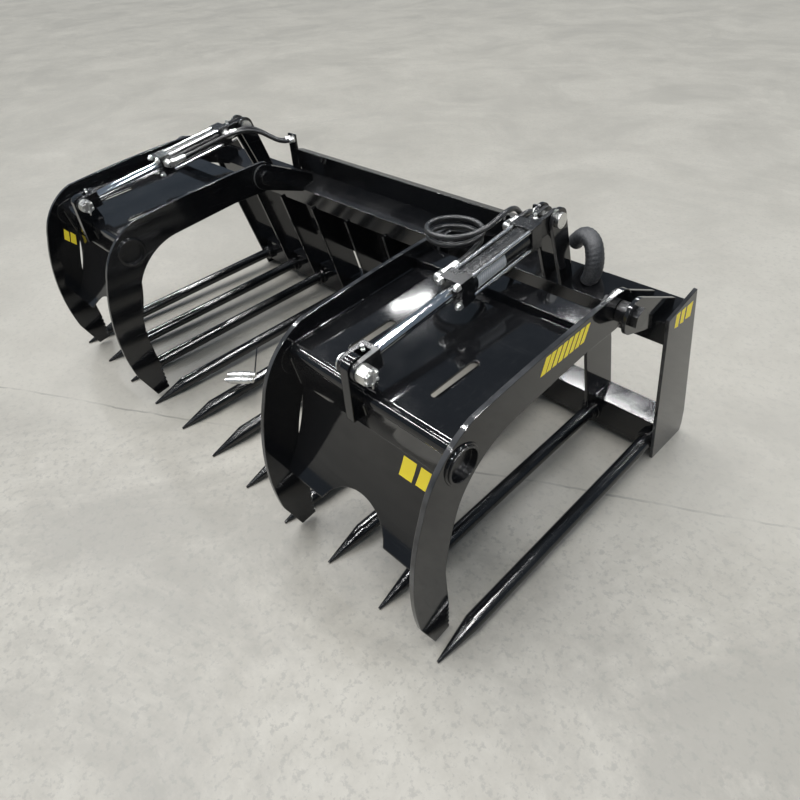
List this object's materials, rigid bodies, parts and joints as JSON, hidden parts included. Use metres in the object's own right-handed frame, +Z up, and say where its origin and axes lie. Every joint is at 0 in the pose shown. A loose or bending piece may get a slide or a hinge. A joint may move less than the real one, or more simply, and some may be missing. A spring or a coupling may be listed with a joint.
{
  "type": "manure grapple",
  "caption": "Fork frame with a row of round tines and two hinged claws, each worked by a hydraulic cylinder, on a loader quick-attach plate.",
  "frame": {"origin": "middle of the floor area that the grapple covers, on the floor", "axes": "+X across the frame, -Y forward along the tines, +Z up"},
  "size_m": [2.1336, 1.1759, 0.8038],
  "materials": {
    "black_paint": "glossy black powder coat",
    "chrome": "hard chrome piston rod",
    "bright_steel": "bright tie rods",
    "zinc": "plated pins, nuts and fittings",
    "hose_rubber": "hydraulic hose cover"
  },
  "bodies": {
    "root": {"bottom_tube": "black_paint", "top_beam": "black_paint", "tine_01": "black_paint", "tine_02": "black_paint", "tine_03": "black_paint", "tine_04": "black_paint", "tine_05": "black_paint", "tine_06": "black_paint", "tine_07": "black_paint", "tine_08": "black_paint", "tine_09": "black_paint", "tine_10": "black_paint", "tine_11": "black_paint", "tine_collars": "black_paint", "end_plate_left": "black_paint", "end_plate_right": "black_paint", "uprights_left": "black_paint", "uprights_centre": "black_paint", "uprights_right": "black_paint", "quick_attach_plate": "black_paint", "quick_attach_foot": "black_paint", "hinge_ears_left": "black_paint", "hinge_ears_right": "black_paint", "hinge_bolts": "black_paint", "cylinder_bracket_left": "black_paint", "cylinder_bracket_right": "black_paint", "base_pins": "zinc", "hose_unions": "black_paint"},
    "left_arm": {"left_claw_plate_outer": "black_paint", "left_claw_plate_inner": "black_paint", "left_top_sheet": "black_paint", "left_front_sheet": "black_paint", "left_pipe_rings": "black_paint", "left_rear_tube": "black_paint", "left_rod_lug": "black_paint"},
    "left_barrel_body": {"left_barrel": "black_paint", "left_gland_head": "black_paint", "left_cap_head": "black_paint", "left_tie_rods": "bright_steel", "left_gland_hose": "hose_rubber", "left_cap_hose": "hose_rubber"},
    "left_rod_body": {"left_rod": "chrome", "left_rod_clevis": "black_paint", "left_rod_pin": "zinc"},
    "right_arm": {"right_claw_plate_outer": "black_paint", "right_claw_plate_inner": "black_paint", "right_top_sheet": "black_paint", "right_front_sheet": "black_paint", "right_pipe_rings": "black_paint", "right_rear_tube": "black_paint", "right_rod_lug": "black_paint"},
    "right_barrel_body": {"right_barrel": "black_paint", "right_gland_head": "black_paint", "right_cap_head": "black_paint", "right_tie_rods": "bright_steel", "right_gland_hose": "hose_rubber", "right_cap_hose": "hose_rubber"},
    "right_rod_body": {"right_rod": "chrome", "right_rod_clevis": "black_paint", "right_rod_pin": "zinc"}
  },
  "joints": [
    {"name": "left_claw_hinge", "type": "hinge", "parent": "root", "child": "left_arm", "pos_m": [0, 0.112, 0.655], "axis": [-1, 0, 0], "range_deg": [0, 50]},
    {"name": "left_cylinder_tilt", "type": "hinge", "parent": "root", "child": "left_barrel_body", "pos_m": [0, 0.219, 0.771], "axis": [-1, 0, 0], "range_deg": [0, 43.41]},
    {"name": "left_rod_slide", "type": "slide", "parent": "left_barrel_body", "child": "left_rod_body", "axis": [0, 0.9891, 0.1476], "range_m": [0, 0.1125]},
    {"name": "right_claw_hinge", "type": "hinge", "parent": "root", "child": "right_arm", "pos_m": [0, 0.112, 0.655], "axis": [-1, 0, 0], "range_deg": [0, 50]},
    {"name": "right_cylinder_tilt", "type": "hinge", "parent": "root", "child": "right_barrel_body", "pos_m": [0, 0.219, 0.771], "axis": [-1, 0, 0], "range_deg": [0, 43.41]},
    {"name": "right_rod_slide", "type": "slide", "parent": "right_barrel_body", "child": "right_rod_body", "axis": [0, 0.9891, 0.1476], "range_m": [0, 0.1125]}
  ],
  "couplings": [
    {"joint": "left_cylinder_tilt", "follows": "left_claw_hinge", "ratio": 0.8677},
    {"joint": "left_rod_slide", "follows": "left_claw_hinge", "m_per_rad": 0.12877},
    {"joint": "right_cylinder_tilt", "follows": "right_claw_hinge", "ratio": 0.8677},
    {"joint": "right_rod_slide", "follows": "right_claw_hinge", "m_per_rad": 0.12877}
  ]
}
